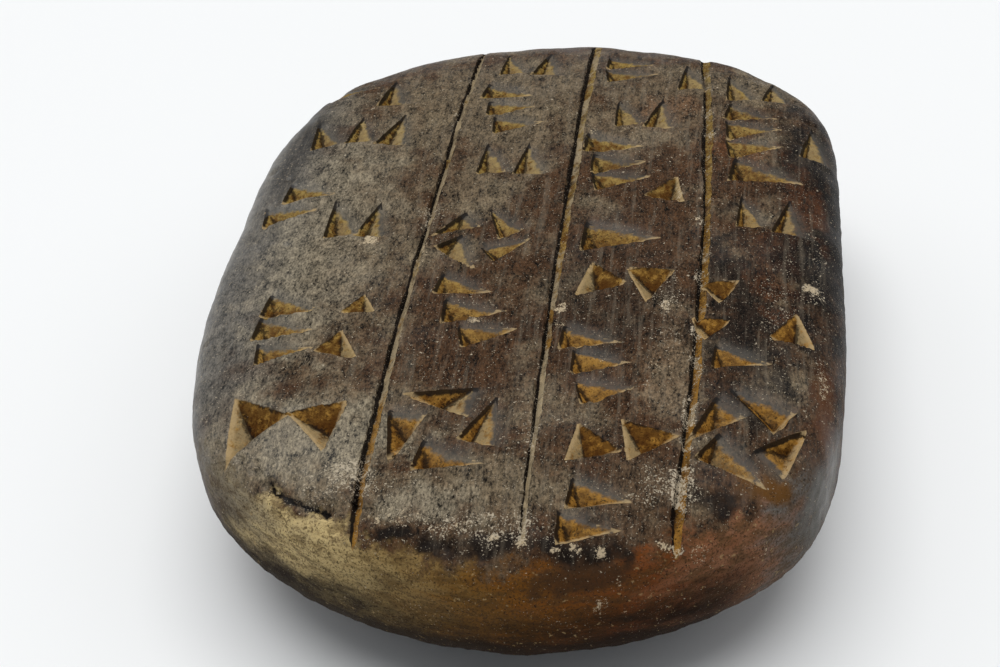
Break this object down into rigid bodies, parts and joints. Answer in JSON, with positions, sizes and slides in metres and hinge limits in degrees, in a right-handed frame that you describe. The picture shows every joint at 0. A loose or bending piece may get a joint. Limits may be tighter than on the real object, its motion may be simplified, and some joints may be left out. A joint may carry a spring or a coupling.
{
  "type": "cuneiform tablet",
  "caption": "Cushion-shaped fired clay tablet: a flat ruled face with columns of shallow wedge strokes, rounded edges and a convex back that lies on a small flat spot.",
  "frame": {"origin": "on the flat spot of the back, under the middle of the tablet's box", "axes": "+Z out of the ruled face, +Y along the ruled lines towards the end with the shallower groove ends, +X to the right as seen from above"},
  "size_m": [0.0798, 0.1076, 0.0285],
  "materials": {
    "fired_clay": "dark brown, softly shining patina, ochre in the strokes and pale crust along the near edge"
  },
  "bodies": {
    "root": {"tablet": "fired_clay"}
  },
  "joints": []
}
